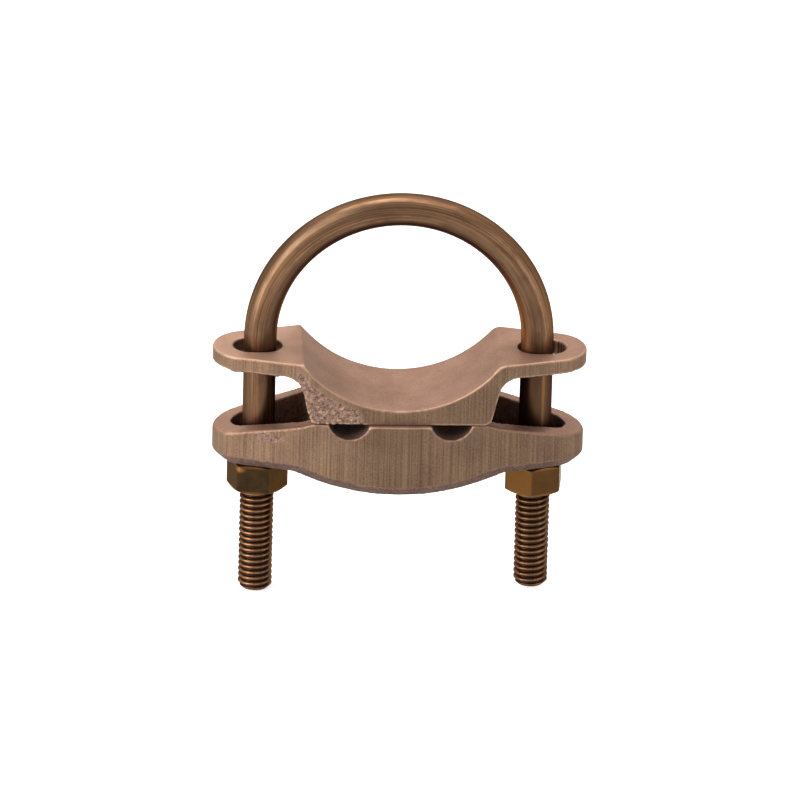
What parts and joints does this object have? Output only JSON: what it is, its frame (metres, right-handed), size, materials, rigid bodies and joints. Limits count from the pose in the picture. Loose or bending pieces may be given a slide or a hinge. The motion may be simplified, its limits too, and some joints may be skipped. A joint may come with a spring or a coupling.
{
  "type": "earthing pipe clamp",
  "caption": "Bronze earthing clamp: a U-bolt draws a pipe saddle and a grooved conductor keeper together with nuts on its threaded legs.",
  "frame": {"origin": "on the axis of the pipe in the saddle's seat, at half the saddle's depth", "axes": "+Y along the pipe away from the side that the picture shows, +Z from the keeper up to the crown of the U-bolt, +X to the right from leg to leg"},
  "size_m": [0.0859, 0.028, 0.0981],
  "materials": {
    "u_bolt": "silicon bronze rod with brown gold patina",
    "pipe_saddle": "sand cast bronze, belt ground faces",
    "conductor_keeper": "sand cast bronze, belt ground faces",
    "nut_left": "turned bronze, olive brown",
    "nut_right": "turned bronze, orange gold"
  },
  "bodies": {
    "bolt": {"u_bolt": "u_bolt"},
    "keeper": {"conductor_keeper": "conductor_keeper"},
    "saddle": {"pipe_saddle": "pipe_saddle"},
    "left_nut": {"nut_left": "nut_left"},
    "right_nut": {"nut_right": "nut_right"}
  },
  "joints": [
    {"name": "keeper_travel", "type": "slide", "parent": "bolt", "child": "keeper", "axis": [0, 0, 1], "range_m": [-0.022, 0.0015]},
    {"name": "saddle_lift", "type": "slide", "parent": "keeper", "child": "saddle", "axis": [0, 0, 1], "range_m": [0, 0.005]},
    {"name": "nut_left_turn", "type": "hinge", "parent": "keeper", "child": "left_nut", "pos_m": [-0.0321, 0, -0.04515], "axis": [0, 0, 1], "range_deg": [-5640, 400]},
    {"name": "nut_right_turn", "type": "hinge", "parent": "keeper", "child": "right_nut", "pos_m": [0.0315, 0, -0.04515], "axis": [0, 0, 1], "range_deg": [-5640, 400]}
  ],
  "couplings": [
    {"joint": "nut_left_turn", "follows": "keeper_travel", "rad_per_m": 4452.7},
    {"joint": "nut_right_turn", "follows": "keeper_travel", "rad_per_m": 4452.7}
  ]
}
